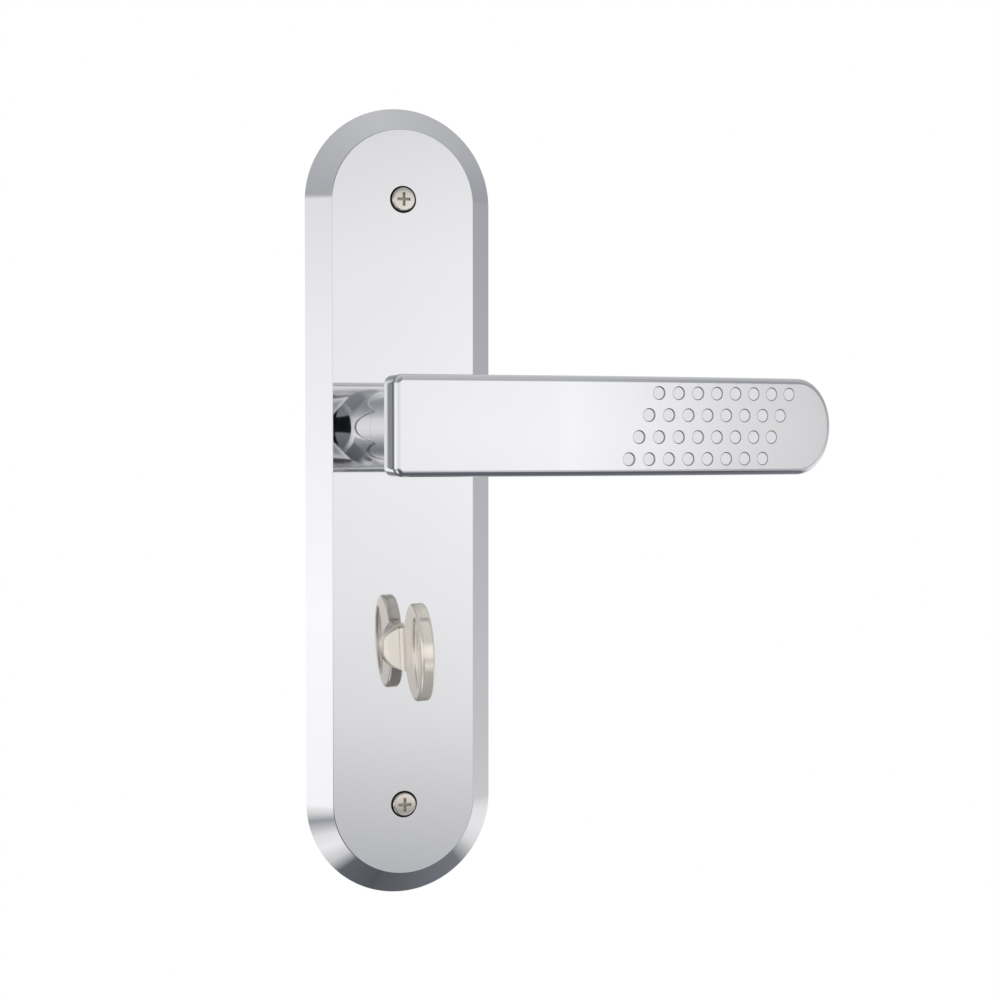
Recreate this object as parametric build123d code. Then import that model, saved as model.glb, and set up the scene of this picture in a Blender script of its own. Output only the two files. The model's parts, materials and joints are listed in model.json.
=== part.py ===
from build123d import *
import math
import os

# Inside trim of a bathroom door lock: a long chromed plate that carries a lever
# handle and, below it, a small thumbturn. All sizes are in millimetres.
# The origin is where the lever's axis meets the door face. X runs along the
# lever to its tip, Y runs into the door and Z runs up, so the front faces -Y.

# Plate, a hollow casting with a chamfered skirt and semicircular ends
plate_height = 190.5
plate_width = 46.0
plate_depth = 5.0
skirt_width = 5.5
plate_wall = 1.3
lever_above_centre = 18.4
lock_pitch = 53.0
rib_thickness = 1.2
rib_depth = 2.0
rib_offset = 11.0

# Fixing screws, in counterbored bosses
screw_inset = 22.3
screw_head_radius = 2.8
screw_head_height = 2.0
screw_dome = 0.15
screw_shank_radius = 1.9
screw_shank_end = 1.0
screw_core_radius = 1.6
screw_length = 24.0
screw_point = 4.0
cross_length = 3.7
cross_width = 0.8
cross_depth = 1.3
counterbore_radius = 3.2
counterbore_depth = 1.2
screw_hole_radius = 2.1
screw_boss_radius = 6.0

# Lever grip, flat over the neck and then curved back towards the door
lever_end = 13.2
lever_length = 97.6
lever_height = 22.8
lever_front = 46.6
lever_thickness = 10.1
tip_thickness = 7.1
straight_front = 24.3
straight_back = 14.2
front_bend_radius = 299.0
tip_round = 9.6
end_corner = 2.2
front_round = 1.8
back_round = 1.5

# Grip dimples, in slanting rows along the curved front
dimple_rows = 4
dimple_columns = 8
dimple_pitch = 5.1
dimple_row_pitch = 5.05
dimple_start = 49.8
dimple_mouth_radius = 1.6
dimple_floor_radius = 1.05
dimple_depth = 0.35
dimple_tilt = 7.5

# Lever neck and shank
neck_radius = 8.3
neck_flare_radius = 9.7
neck_flare_length = 9.5
shank_radius = 7.0
shank_flat = 6.2
shank_tail = 3.0
lever_travel = 40.0

# Square spindle and its set screw
spindle_square = 8.0
spindle_reach = 48.0
spindle_depth_in_neck = 27.0
spindle_edge = 0.6
grub_radius = 2.4
grub_height = 14.0
grub_sink = 0.3
grub_socket = 2.5

# Lever bearing, spring and retainers
bush_wall = 0.75
bush_flange_radius = 8.1
bush_flange = 0.6
driver_radius = 10.6
driver_thickness = 1.4
tab_half_width = 7.7
tab_bottom = 10.0
tab_thickness = 1.3
spring_wire_radius = 0.45
spring_pitch = 1.0
spring_turns = 1.5
spring_leg = 17.5
spring_ring_gap = 1.0
ring_wall = 1.9
wave_washer_radius = 9.2
wave_washer_thickness = 0.3
circlip_thickness = 0.7
circlip_width = 2.1
circlip_groove = 0.6
circlip_gap = 4.0

# Thumbturn
paddle_reach = 22.3
paddle_root = 6.3
paddle_height = 23.1
paddle_thickness = 3.4
paddle_rim = 0.8
finger_recess_height = 17.4
finger_recess_width = 7.2
finger_recess_depth = 0.8
finger_recess_reach = 17.4
hub_radius = 5.5
hub_step = 0.2
hub_gap = 0.6
thumb_shank_radius = 4.1
thumb_bush_wall = 0.55
thumb_bush_flange = 0.4
thumb_boss_radius = 8.0
thumb_boss_height = 2.3
thumb_spindle_square = 5.0
thumb_spindle_reach = 40.0
thumb_spindle_in_hub = 2.8
thumb_washer_radius = 6.8
thumb_washer_thickness = 0.5
thumb_circlip_width = 1.8
thumb_circlip_groove = 0.3
thumb_lean = 2.6

# Clearances
running_clearance = 0.05
seat_clearance = 0.05
stop_margin = 2.0
back_relief = 0.2

# Limits for picking edges and faces
edge_tolerance = 0.05
back_facing = 0.9

# Places worked out from the sizes above
plate_face = -plate_depth
plate_inner = plate_face + plate_wall
plate_centre = -lever_above_centre
thumb_axis = -lock_pitch
skirt_angle = math.degrees(math.atan2(skirt_width, plate_depth))
skirt_rim = plate_wall / math.cos(math.radians(skirt_angle))
screw_pitch = plate_height - 2 * screw_inset
screw_heights = (plate_centre + screw_pitch / 2, plate_centre - screw_pitch / 2)
screw_seat = plate_face + counterbore_depth
lever_face = -lever_front
lever_back = lever_face + lever_thickness
neck_end = plate_face - bush_flange - running_clearance
bush_bore = shank_radius + running_clearance
bush_radius = bush_bore + bush_wall
lever_hole = bush_radius + seat_clearance
driver_front = running_clearance + seat_clearance
driver_back = driver_front + driver_thickness
washer_back = driver_back + wave_washer_thickness
circlip_front = washer_back + seat_clearance
circlip_back = circlip_front + circlip_thickness
spring_radius = bush_radius + seat_clearance + spring_wire_radius
ring_inner = spring_radius + spring_wire_radius + spring_ring_gap
ring_outer = ring_inner + ring_wall
thumb_bush_bore = thumb_shank_radius + running_clearance
thumb_bush_radius = thumb_bush_bore + thumb_bush_wall
thumb_hole = thumb_bush_radius + seat_clearance
hub_front = plate_face - hub_gap
thumb_boss_end = plate_inner + thumb_boss_height
thumb_washer_back = thumb_boss_end + thumb_washer_thickness
thumb_circlip_front = thumb_washer_back + seat_clearance
thumb_circlip_back = thumb_circlip_front + circlip_thickness
thumb_tail = thumb_circlip_back + circlip_thickness
paddle_middle = plate_face - (paddle_reach + paddle_root) / 2
paddle_half_depth = (paddle_reach - paddle_root) / 2
grip_end_x = lever_length - tip_round


def front_y(x):
    """Depth of the grip's front surface at a distance along the lever."""
    if x <= straight_front:
        return lever_face
    run = x - straight_front
    return lever_face + front_bend_radius - math.sqrt(front_bend_radius**2 - run**2)


def stadium(width, height, y):
    """Upright slot outline of the plate at one depth."""
    return Plane.XZ.offset(-y) * Pos(0, plate_centre) * SlotOverall(height, width, rotation=90)


def turned(points, z=0.0):
    """Solid of revolution about the Y direction from (radius, y) points."""
    face = make_face(Polyline(*points, close=True))
    return Pos(0, 0, z) * revolve(face, Axis.Y)


def rod(radius, y0, y1, x=0.0, z=0.0):
    """Cylinder along Y between two depths."""
    return Pos(x, (y0 + y1) / 2, z) * Rot(90, 0, 0) * Cylinder(radius, y1 - y0)


def ring(outer, inner, y0, y1, z=0.0):
    """Flat ring about the Y direction."""
    return rod(outer, y0, y1, 0, z) - rod(inner, y0, y1, 0, z)


def block(x0, x1, y0, y1, z0, z1):
    """Box between two corners."""
    size = (x1 - x0, y1 - y0, z1 - z0)
    return Pos((x0 + x1) / 2, (y0 + y1) / 2, (z0 + z1) / 2) * Box(*size)


def square_bar(side, y0, y1, z, edge):
    """Square bar along Y with eased long edges."""
    bar = Pos(0, (y0 + y1) / 2, z) * Box(side, y1 - y0, side)
    return chamfer(bar.edges().filter_by(Axis.Y), edge) if edge else bar


def c_clip(outer, inner, y0, y1, z):
    """Open retaining ring with its gap at the bottom."""
    gap = block(-circlip_gap / 2, circlip_gap / 2, y0, y1, z - 2 * outer, z)
    return ring(outer, inner, y0, y1, z) - gap


def sector(angle, radius, y0, y1):
    """Wedge about the upward direction that opens a ring by an angle on each side."""
    side = radius * math.sin(math.radians(angle))
    rise = radius * math.cos(math.radians(angle))
    corners = ((0, 0), (side, rise), (side, radius), (-side, radius), (-side, rise))
    outline = make_face(Polyline(*corners, close=True))
    return extrude(Plane.XZ.offset(-y1) * outline, y1 - y0)


def make_face_plate():
    """Hollow casting: skirt, screw bosses, bearing bosses, spring ring, spring post and ribs."""
    shell = extrude(stadium(plate_width, plate_height, 0), plate_depth, taper=skirt_angle)
    hollow_width = plate_width - 2 * skirt_rim
    hollow_height = plate_height - 2 * skirt_rim
    shell -= extrude(stadium(hollow_width, hollow_height, 0), plate_depth - plate_wall, taper=skirt_angle)

    post_bottom = math.hypot(tab_half_width, tab_bottom + tab_thickness) + tab_thickness / 2
    post = block(-tab_half_width, tab_half_width, plate_inner, -back_relief, post_bottom, spring_leg)
    tab_half_angle = math.degrees(math.acos(tab_bottom / ring_outer))
    opening = sector(tab_half_angle + lever_travel + stop_margin, 2 * ring_outer, plate_inner, 0)
    spring_ring = ring(ring_outer, ring_inner, plate_inner, -back_relief) - opening
    shell += [post, spring_ring]
    shell += rod(thumb_boss_radius, plate_inner, thumb_boss_end, 0, thumb_axis)
    shell += [rod(screw_boss_radius, plate_inner, 0, 0, z) for z in screw_heights]
    for side in (-1, 1):
        x = side * rib_offset
        rib = (x - rib_thickness / 2, x + rib_thickness / 2, plate_inner, plate_inner + rib_depth)
        shell += block(*rib, screw_heights[1], thumb_axis - thumb_boss_radius)
        shell += block(*rib, thumb_axis + thumb_boss_radius, -ring_outer)
        shell += block(*rib, spring_leg + rib_offset, screw_heights[0])

    shell -= rod(lever_hole, plate_face, plate_inner)
    shell -= rod(thumb_hole, plate_face, thumb_boss_end, 0, thumb_axis)
    for z in screw_heights:
        shell -= rod(counterbore_radius, plate_face, screw_seat, 0, z)
        shell -= rod(screw_hole_radius, plate_face, 0, 0, z)
    return shell


def lies_on_front(edge):
    """Whether an edge of the grip runs along its front surface."""
    middle = edge @ 0.5
    return abs(middle.Y - front_y(middle.X)) < edge_tolerance


def make_grip():
    """Lever grip: curved plan crossed with the outline seen from the front, then eased."""
    front_tip = front_y(lever_length)
    plan_lines = [
        Line((-lever_end, lever_back), (-lever_end, lever_face)),
        Line((-lever_end, lever_face), (straight_front, lever_face)),
    ]
    front_arc = TangentArc((straight_front, lever_face), (lever_length, front_tip), tangent=(1, 0))
    tip = Line((lever_length, front_tip), (lever_length, front_tip + tip_thickness))
    back_arc = TangentArc(
        (straight_back, lever_back), (lever_length, front_tip + tip_thickness), tangent=(1, 0)
    )
    back = Line((straight_back, lever_back), (-lever_end, lever_back))
    plan = make_face(Curve() + [*plan_lines, front_arc, tip, back_arc, back])
    slab = extrude(plan, lever_height / 2, both=True)

    outline = Pos((grip_end_x - lever_end) / 2, 0) * Rectangle(grip_end_x + lever_end, lever_height)
    outline += Pos(grip_end_x, 0) * Ellipse(tip_round, lever_height / 2)
    outline = fillet(outline.vertices().group_by(Axis.X)[0], end_corner)
    grip = slab & extrude(Plane.XZ * outline, 2 * lever_front)

    front_edges = [e for e in grip.edges() if lies_on_front(e)]
    grip = fillet(front_edges, front_round)
    back_faces = [f for f in grip.faces() if f.normal_at().Y > back_facing]
    back_edges = [e for f in back_faces for e in f.edges()]
    rim = [e for e in back_edges if sum(e.is_same(other) for other in back_edges) == 1]
    return fillet(rim, back_round)


def make_dimples():
    """Cutters for the grip dimples: flat-bottomed round dishes, all tilted alike to suit the curve's middle."""
    rise = (dimple_mouth_radius**2 - dimple_floor_radius**2 - dimple_depth**2) / (2 * dimple_depth)
    floor = (dimple_floor_radius, dimple_depth)
    widest = (math.hypot(dimple_mouth_radius, rise), -rise)
    outline = Curve() + [
        Line((0, dimple_depth), floor),
        TangentArc(widest, floor, tangent=(0, 1)),
        Line(widest, (0, -rise)),
        Line((0, -rise), (0, dimple_depth)),
    ]
    cutter = Rot(0, 0, dimple_tilt) * revolve(make_face(outline), Axis.Y)
    cutters = []
    for row in range(dimple_rows):
        z = (dimple_rows - 1) / 2 * dimple_row_pitch - row * dimple_row_pitch
        for column in range(dimple_columns):
            along = dimple_start + (column - row / 2) * dimple_pitch - straight_front
            turn = along / front_bend_radius
            x = straight_front + front_bend_radius * math.sin(turn)
            cutters.append(Pos(x, front_y(x), z) * cutter)
    return cutters


def make_lever_handle():
    """One casting: grip, flared neck and hollow shank that turns in the plate."""
    flare_start = lever_back + neck_flare_length
    flare = TangentArc((neck_radius, flare_start), (neck_flare_radius, lever_back), tangent=(0, -1))
    inside = lever_back - lever_thickness / 2
    outline = Curve() + [
        Line((0, inside), (neck_flare_radius, inside)),
        Line((neck_flare_radius, inside), (neck_flare_radius, lever_back)),
        flare,
        Line((neck_radius, flare_start), (neck_radius, neck_end)),
        Line((neck_radius, neck_end), (shank_radius, neck_end)),
        Line((shank_radius, neck_end), (shank_radius, shank_tail)),
        Line((shank_radius, shank_tail), (0, shank_tail)),
        Line((0, shank_tail), (0, inside)),
    ]
    handle = make_grip() + revolve(make_face(outline), Axis.Y)
    socket_side = spindle_square + 2 * seat_clearance
    socket_floor = neck_end - spindle_depth_in_neck
    handle -= square_bar(socket_side, socket_floor, shank_tail, 0, 0)
    for side in (-1, 1):
        flat = sorted((side * shank_flat, side * 2 * shank_radius))
        handle -= block(*flat, driver_front, shank_tail, -shank_radius, shank_radius)
    handle -= ring(shank_radius + seat_clearance, shank_radius - circlip_groove, circlip_front, circlip_back)
    grub_hole_length = 2 * neck_radius - spindle_square
    handle -= Pos(0, -grub_height, -neck_radius) * Cylinder(grub_radius + seat_clearance, grub_hole_length)
    handle -= make_dimples()
    return handle


def make_lever_spindle():
    """Square steel spindle that carries the lever's turn to the lock case."""
    return square_bar(spindle_square, neck_end - spindle_depth_in_neck, spindle_reach, 0, spindle_edge)


def make_grub_screw():
    """Set screw that grips the spindle from below, with a hexagon socket."""
    top = -spindle_square / 2
    bottom = -neck_radius + grub_sink
    screw = Pos(0, -grub_height, (top + bottom) / 2) * Cylinder(grub_radius, top - bottom)
    key = extrude(Pos(0, -grub_height, bottom) * RegularPolygon(grub_socket / 2, 6), grub_socket / 2)
    return screw - key


def make_lever_bush():
    """Nylon bearing sleeve with a thin flange under the neck."""
    sleeve = ring(bush_radius, bush_bore, plate_face, running_clearance)
    return sleeve + ring(bush_flange_radius, bush_bore, plate_face - bush_flange, plate_face)


def make_return_spring():
    """Torsion spring round the bush, its two legs standing either side of the tab and the post."""
    height = spring_pitch * spring_turns
    coil = Helix(spring_pitch, height, spring_radius)
    start, start_way = coil @ 0, coil % 0
    end, end_way = coil @ 1, coil % 1
    first_leg = Line(start - start_way * spring_leg, start)
    last_leg = Line(end, end + end_way * spring_leg)
    path = Curve() + [first_leg, coil, last_leg]
    section = Plane(path.wire() @ 0, z_dir=path.wire() % 0) * Circle(spring_wire_radius)
    spring = sweep(section, path.wire())
    middle = plate_inner / 2 + height / 2
    seat = Plane((0, middle, 0), x_dir=(-1, 0, 0), z_dir=(0, -1, 0))
    return seat * spring


def make_spring_driver():
    """Pressed steel driver keyed to the shank, with a tab bent forward between the spring's legs."""
    tab_top = tab_bottom + tab_thickness
    tab_sides = (-tab_half_width, tab_half_width)
    tab_front = plate_inner / 2 - tab_thickness
    driver = rod(driver_radius, driver_front, driver_back)
    driver += block(*tab_sides, driver_front, driver_back, 0, tab_top)
    driver += block(*tab_sides, tab_front, driver_back, tab_bottom, tab_top)
    keyhole = rod(shank_radius + seat_clearance, driver_front, driver_back)
    half_flat = shank_flat + seat_clearance
    keyhole &= block(-half_flat, half_flat, driver_front, driver_back, -2 * shank_radius, 2 * shank_radius)
    return driver - keyhole


def make_lever_wave_washer():
    """Thin washer that takes up the end play behind the driver."""
    return ring(wave_washer_radius, shank_radius + seat_clearance, driver_back, washer_back)


def make_lever_circlip():
    """Open ring in the shank's groove that keeps the lever in the plate."""
    inner = shank_radius - circlip_groove + seat_clearance
    return c_clip(inner + circlip_width, inner, circlip_front, circlip_back, 0)


def leaned(solid):
    """Turns a thumbturn piece about its axis, so that the finger plate's top leans a little to the left."""
    axis = Axis((0, 0, thumb_axis), (0, 1, 0))
    return solid.rotate(axis, -thumb_lean)


def make_paddle():
    """Oval finger plate with a rounded rim and a shallow oval recess in each side."""
    oval = Plane.YZ * Pos(paddle_middle, thumb_axis) * Ellipse(paddle_half_depth, paddle_height / 2)
    paddle = extrude(oval, paddle_thickness / 2, both=True)
    paddle = fillet(paddle.edges(), paddle_rim)
    recess = Plane.YZ * Pos(plate_face - finger_recess_reach, thumb_axis)
    recess *= Ellipse(finger_recess_width / 2, finger_recess_height / 2)
    for side in (-1, 1):
        floor = side * (paddle_thickness / 2 - finger_recess_depth)
        paddle -= Pos(floor, 0, 0) * extrude(recess, side * paddle_thickness)
    return paddle


def make_thumbturn():
    """One casting: round hub cut to a wedge below the oval finger plate, and a hollow shank."""
    crown_y = plate_face - paddle_root - paddle_rim
    crown_half = paddle_thickness / 2 - hub_step
    foot_half = hub_radius - hub_step
    foot = ((-foot_half, hub_front), (foot_half, hub_front))
    crown = ((crown_half, crown_y), (-crown_half, crown_y))
    wedge = make_face(Polyline(*foot, *crown, close=True))
    chisel = extrude(Pos(0, 0, thumb_axis) * wedge, hub_radius, both=True)
    thumb = rod(hub_radius, crown_y, hub_front, 0, thumb_axis) & chisel
    thumb += make_paddle()
    thumb += rod(thumb_shank_radius, hub_front, thumb_tail, 0, thumb_axis)
    socket_floor = plate_face - thumb_spindle_in_hub
    socket_side = thumb_spindle_square + 2 * seat_clearance
    thumb -= square_bar(socket_side, socket_floor, thumb_tail, thumb_axis, 0)
    groove = thumb_shank_radius - thumb_circlip_groove
    groove_mouth = thumb_shank_radius + seat_clearance
    thumb -= ring(groove_mouth, groove, thumb_circlip_front, thumb_circlip_back, thumb_axis)
    return leaned(thumb)


def make_thumbturn_spindle():
    """Thin square spindle that throws the bolt in the lock case."""
    start = plate_face - thumb_spindle_in_hub
    return leaned(square_bar(thumb_spindle_square, start, thumb_spindle_reach, thumb_axis, spindle_edge))


def make_thumbturn_bush():
    """Nylon bearing sleeve with a thin flange under the hub."""
    sleeve = ring(thumb_bush_radius, thumb_bush_bore, plate_face, thumb_boss_end, thumb_axis)
    flange = ring(hub_radius, thumb_bush_bore, plate_face - thumb_bush_flange, plate_face, thumb_axis)
    return sleeve + flange


def make_thumbturn_washer():
    """Friction washer between the boss and the retaining ring."""
    inner = thumb_shank_radius + seat_clearance
    return ring(thumb_washer_radius, inner, thumb_boss_end, thumb_washer_back, thumb_axis)


def make_thumbturn_circlip():
    """Open ring in the thumbturn shank's groove."""
    inner = thumb_shank_radius - thumb_circlip_groove + seat_clearance
    return c_clip(inner + thumb_circlip_width, inner, thumb_circlip_front, thumb_circlip_back, thumb_axis)


def make_screw(z):
    """Domed wood screw with a cross recess, its thread left plain."""
    head_top = screw_seat - screw_head_height
    edge = head_top + screw_dome
    point_start = screw_length - screw_point
    dome = ThreePointArc((0, head_top), *dome_points(head_top, edge))
    outline = Curve() + [
        dome,
        Line((screw_head_radius, edge), (screw_head_radius, screw_seat)),
        Line((screw_head_radius, screw_seat), (screw_shank_radius, screw_seat)),
        Line((screw_shank_radius, screw_seat), (screw_shank_radius, screw_shank_end)),
        Line((screw_shank_radius, screw_shank_end), (screw_core_radius, screw_shank_end)),
        Line((screw_core_radius, screw_shank_end), (screw_core_radius, point_start)),
        Line((screw_core_radius, point_start), (0, screw_length)),
        Line((0, screw_length), (0, head_top)),
    ]
    screw = revolve(make_face(outline), Axis.Y)
    arm = (-cross_length / 2, cross_length / 2)
    blade = (-cross_width / 2, cross_width / 2)
    depth = (head_top, head_top + cross_depth)
    screw -= [block(*arm, *depth, *blade), block(*blade, *depth, *arm)]
    return Pos(0, 0, z) * screw


def dome_points(top, edge):
    """Middle and end of the arc from the crown of a screw head to its edge."""
    rise = edge - top
    radius = (screw_head_radius**2 + rise**2) / (2 * rise)
    half_way = screw_head_radius / 2
    return (half_way, top + radius - math.sqrt(radius**2 - half_way**2)), (screw_head_radius, edge)


nodes = {
    "face_plate": make_face_plate(),
    "lever_handle": make_lever_handle(),
    "lever_spindle": make_lever_spindle(),
    "spindle_grub_screw": make_grub_screw(),
    "lever_bush": make_lever_bush(),
    "return_spring": make_return_spring(),
    "spring_driver": make_spring_driver(),
    "lever_wave_washer": make_lever_wave_washer(),
    "lever_circlip": make_lever_circlip(),
    "thumbturn": make_thumbturn(),
    "thumbturn_spindle": make_thumbturn_spindle(),
    "thumbturn_bush": make_thumbturn_bush(),
    "thumbturn_washer": make_thumbturn_washer(),
    "thumbturn_circlip": make_thumbturn_circlip(),
    "upper_screw": make_screw(screw_heights[0]),
    "lower_screw": make_screw(screw_heights[1]),
}

os.makedirs("parts", exist_ok=True)
for name, solid in nodes.items():
    export_step(solid, f"parts/{name}.step")
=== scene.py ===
"""Dresses the inside trim of a bathroom door lock: plate, lever, thumbturn, screws and hidden hardware.

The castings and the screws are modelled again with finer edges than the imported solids,
the small hardware is smoothed, and every surface gets a procedural finish.
Lengths in the settings are metres. Modelling works in millimetres and is scaled down at the end.
"""

import json
import math
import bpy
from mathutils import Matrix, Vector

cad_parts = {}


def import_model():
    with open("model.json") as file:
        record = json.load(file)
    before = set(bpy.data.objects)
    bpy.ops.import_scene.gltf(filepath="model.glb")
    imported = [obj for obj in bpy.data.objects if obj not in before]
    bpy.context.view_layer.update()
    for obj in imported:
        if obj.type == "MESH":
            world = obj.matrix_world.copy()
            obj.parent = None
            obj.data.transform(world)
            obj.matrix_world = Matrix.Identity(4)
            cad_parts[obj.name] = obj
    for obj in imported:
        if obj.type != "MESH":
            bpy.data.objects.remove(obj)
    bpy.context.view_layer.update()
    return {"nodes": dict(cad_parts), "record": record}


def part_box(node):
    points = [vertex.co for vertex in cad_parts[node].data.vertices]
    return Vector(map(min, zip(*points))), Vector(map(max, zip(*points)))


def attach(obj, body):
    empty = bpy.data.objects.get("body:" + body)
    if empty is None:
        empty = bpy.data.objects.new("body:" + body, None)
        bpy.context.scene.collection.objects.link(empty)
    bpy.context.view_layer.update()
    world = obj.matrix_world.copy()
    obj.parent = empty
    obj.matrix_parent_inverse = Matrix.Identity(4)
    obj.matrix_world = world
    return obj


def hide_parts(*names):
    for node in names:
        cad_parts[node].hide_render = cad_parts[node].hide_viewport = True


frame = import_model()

from types import SimpleNamespace

import bmesh
import bpy
from bpy.props import FloatProperty, FloatVectorProperty, IntProperty, PointerProperty
from mathutils import Matrix, Vector

bl_info = {
    "name": "Bathroom door lock trim",
    "version": (1, 0, 0),
    "blender": (4, 5, 0),
    "location": "View3D > Sidebar > Door lock",
    "description": "Models and finishes the plate, lever, thumbturn and screws of a bathroom door lock",
    "category": "Object",
}

MM = 0.001
PER_METRE = 1000.0
KINDS = {"VERT": "verts", "EDGE": "edges", "FACE": "faces"}
SCREW_NODES = ("upper_screw", "lower_screw")
MIX_FIRST = 6
MIX_SECOND = 7
WHITE = (1, 1, 1, 1)

QUARTER_TURN = math.pi / 2
SMOOTH_ANGLE = math.radians(32)
FLAT_ANGLE = math.radians(0.5)
FLAT_WEIGHT = 80
ROUND_PROFILE = 0.5

# Millimetres: what counts as touching, what is welded, how deep a joined shape sinks in
# and how far a cutter reaches past what it cuts
TOUCH = 0.01
WELD = TOUCH / 10
SINK = 0.4
CLEAR = 1.0

# Segments round turned shapes and over rounded edges
FINE_SIDES = 96
ROD_SIDES = 64
HOLE_SIDES = 32
ARC_STEPS = 10
RIM_STEPS = 6
RECESS_STEPS = 4
EDGE_STEPS = 3
HOLE_EDGE_STEPS = 2


def length(name, default, description):
    """A length setting in metres, from a size in millimetres."""
    return FloatProperty(
        name=name, description=description, default=default * MM, unit="LENGTH", precision=5
    )


def angle(name, default, description):
    """An angle setting, from a size in degrees."""
    return FloatProperty(
        name=name, description=description, default=math.radians(default), subtype="ANGLE"
    )


def tint(name, default, description):
    """A colour setting."""
    return FloatVectorProperty(
        name=name, description=description, default=default, size=3, subtype="COLOR", min=0, max=1
    )


def share(name, default, description):
    """A setting from 0 to 1."""
    return FloatProperty(
        name=name, description=description, default=default, min=0, max=1, subtype="FACTOR"
    )


class LockPlateSettings(bpy.types.PropertyGroup):
    """Sizes of the face plate that its packed box doesn't give."""

    skirt_width: length("Skirt width", 5.5, "Width of the sloping skirt seen from the front")
    wall: length("Wall", 1.3, "Thickness of the casting's wall")
    edge_round: length("Edge round", 0.16, "Rounding of the edge between the flat and the skirt")
    # Depth in a screw recess past which painted shade darkens the chrome, which is thin there
    shade_depth: length("Plated depth", 0.55, "How far the chrome reaches into a screw recess")
    hole_edge: length("Hole edge", 0.12, "Rounding of the holes' edges")
    lever_hole: length("Lever hole", 7.85, "Radius of the hole for the lever's bush")
    thumb_hole: length("Thumbturn hole", 4.75, "Radius of the hole for the thumbturn's bush")
    counterbore: length("Counterbore", 3.2, "Radius of the recess round a screw head")
    counterbore_depth: length("Counterbore depth", 1.2, "Depth of the recess round a screw head")
    screw_hole: length("Screw hole", 2.1, "Radius of the hole for a screw")
    screw_boss: length("Screw boss", 6.0, "Radius of the boss behind a screw")
    thumb_boss: length("Thumbturn boss", 8.0, "Radius of the boss behind the thumbturn")
    thumb_boss_height: length("Thumbturn boss height", 2.3, "Height of the boss behind the thumbturn")
    ring_inner: length("Spring ring bore", 9.75, "Inner radius of the ring round the return spring")
    ring_opening: angle("Ring opening", 72.9, "Half the angle over which the spring's ring is open")
    ring_wall: length("Spring ring wall", 1.9, "Wall of the ring round the return spring")
    post_half: length("Post half width", 7.7, "Half the width of the post between the spring's legs")
    post_bottom: length("Post bottom", 14.3, "Height above the lever's axis where the post begins")
    post_top: length("Post top", 17.5, "Height above the lever's axis where the post ends")
    rib_offset: length("Rib offset", 11.0, "Distance of the stiffening ribs from the middle")
    rib_thickness: length("Rib thickness", 1.2, "Thickness of a stiffening rib")
    rib_depth: length("Rib depth", 2.0, "How far a rib stands off the inner wall")
    relief: length("Relief", 0.2, "How far the inner features stop short of the door")
    sides: IntProperty(
        name="Sides", description="Segments round the plate's two ends", default=192, min=32
    )


class LockLeverSettings(bpy.types.PropertyGroup):
    """Sizes of the lever handle."""

    thickness: length("Thickness", 10.1, "Thickness of the grip over the neck")
    tip_thickness: length("Tip thickness", 7.1, "Thickness of the grip at its tip")
    straight_front: length("Straight front", 24.3, "Where the front begins to curve")
    straight_back: length("Straight back", 14.2, "Where the back begins to curve")
    bend_radius: length("Bend radius", 299.0, "Radius of the curved front")
    tip_round: length("Tip round", 9.6, "Length of the half oval at the tip")
    end_corner: length("End corner", 2.2, "Corner radius at the neck end")
    end_draft: angle("End draft", 0.4, "Slope of the end face, which leaves the back a little shorter")
    front_round: length("Front round", 1.5, "Rounding of the front edge")
    back_round: length("Back round", 1.0, "Rounding of the back edge")
    strip: length("Strip", 1.0, "Spacing of the cuts along the curved grip")
    dimple_pitch: length("Dimple pitch", 5.1, "Spacing of the dimples along the grip")
    dimple_row_pitch: length("Dimple row pitch", 5.05, "Spacing of the rows of dimples")
    dimple_start: length("Dimple start", 49.8, "Distance along the front to the top row's first dimple")
    dimple_mouth: length("Dimple mouth", 1.6, "Radius of a dimple at the surface")
    dimple_floor: length("Dimple floor", 1.37, "Radius of a dimple's flat floor")
    dimple_depth: length("Dimple depth", 0.23, "Depth of a dimple")
    dimple_tilt: angle("Dimple tilt", 7.5, "Tilt of the dimples towards the tip")
    neck: length("Neck", 8.3, "Radius of the neck")
    flare: length("Flare", 9.7, "Radius of the neck where it meets the grip")
    flare_length: length("Flare length", 14.5, "Length over which the neck widens")
    shank: length("Shank", 7.0, "Radius of the shank that turns in the plate")
    shank_flat: length("Shank flat", 6.2, "Half the distance between the shank's flats")
    driver: length("Driver", 1.4, "Thickness of the spring driver that sits on the flats")
    foot_gap: length("Foot gap", 0.05, "Gap between the neck's foot and the plate")
    groove: length("Groove", 0.6, "Depth of the retaining ring's groove")
    spindle_socket: length("Spindle socket", 8.1, "Side of the square socket")
    grub_hole: length("Set screw hole", 2.45, "Radius of the set screw's hole")
    dimple_rows: IntProperty(name="Dimple rows", description="Rows of dimples", default=4, min=1)
    dimple_columns: IntProperty(
        name="Dimple columns", description="Dimples in a row", default=8, min=1
    )
    corner_steps: IntProperty(
        name="Corner steps", description="Segments in a quarter of the outline", default=20
    )


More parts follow.
